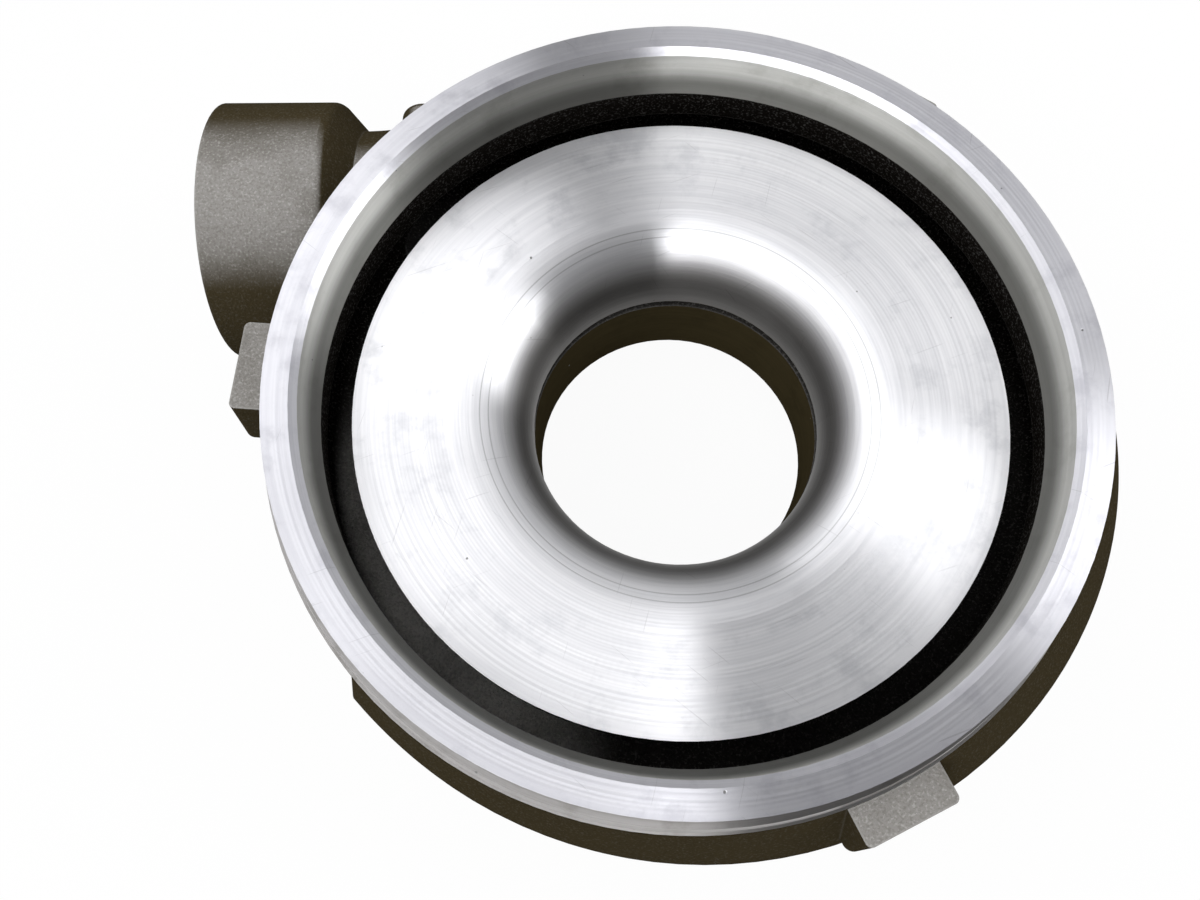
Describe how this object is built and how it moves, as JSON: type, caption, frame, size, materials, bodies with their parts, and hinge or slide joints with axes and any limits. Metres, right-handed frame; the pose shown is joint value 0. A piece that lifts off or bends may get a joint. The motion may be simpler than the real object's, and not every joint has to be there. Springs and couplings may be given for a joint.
{
  "type": "turbo compressor housing",
  "caption": "Cast aluminium volute housing for a centrifugal compressor, with a machined V-band flange, diffuser face, ported shroud bore, inlet spigot and tangential outlet socket.",
  "frame": {"origin": "middle of the end face of the inlet spigot, on the bore's axis", "axes": "+Z along the bore from the inlet to the flange; -X is the way the air leaves the outlet; the outlet's axis lies on the +Y side"},
  "size_m": [0.249, 0.2253, 0.096],
  "materials": {
    "cast_aluminium": "sand-cast skin, with fine-turned flange, register, diffuser face, bore and socket"
  },
  "bodies": {
    "root": {"compressor_housing": "cast_aluminium"}
  },
  "joints": []
}
